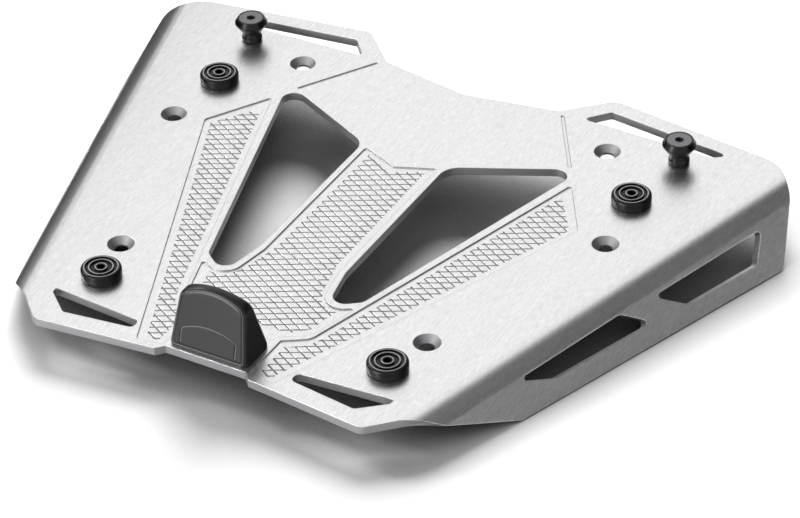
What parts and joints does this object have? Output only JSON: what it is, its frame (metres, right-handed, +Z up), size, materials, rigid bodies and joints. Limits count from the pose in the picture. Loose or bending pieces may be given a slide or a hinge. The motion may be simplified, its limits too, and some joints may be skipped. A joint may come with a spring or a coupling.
{
  "type": "top case mounting plate",
  "caption": "Folded aluminium plate with mushroom pins, rubber pads and a striker, which fastens a top case to a motorbike's luggage rack.",
  "frame": {"origin": "on the ground under the middle of the plate", "axes": "+X to the right across the plate, +Y to the front of the motorbike, +Z up"},
  "size_m": [0.3592, 0.2702, 0.0607],
  "materials": {
    "plate": "brushed, clear anodised",
    "striker": "fine satin",
    "pin": "black, satin",
    "rubber": "satin black rubber",
    "screw": "zinc plated",
    "insert": "turned"
  },
  "bodies": {
    "root": {"plate": "plate", "striker": "striker", "hook_pin_right": "pin", "hook_pin_screw_right": "screw", "hook_pin_washer_right": "screw", "hook_pin_nut_right": "screw", "front_pad_right": "rubber", "rear_pad_right": "rubber", "striker_insert_right": "insert", "striker_washer_right": "screw", "striker_screw_right": "screw", "hook_pin_left": "pin", "hook_pin_screw_left": "screw", "hook_pin_washer_left": "screw", "hook_pin_nut_left": "screw", "front_pad_left": "rubber", "rear_pad_left": "rubber", "striker_insert_left": "insert", "striker_washer_left": "screw", "striker_screw_left": "screw"}
  },
  "joints": []
}
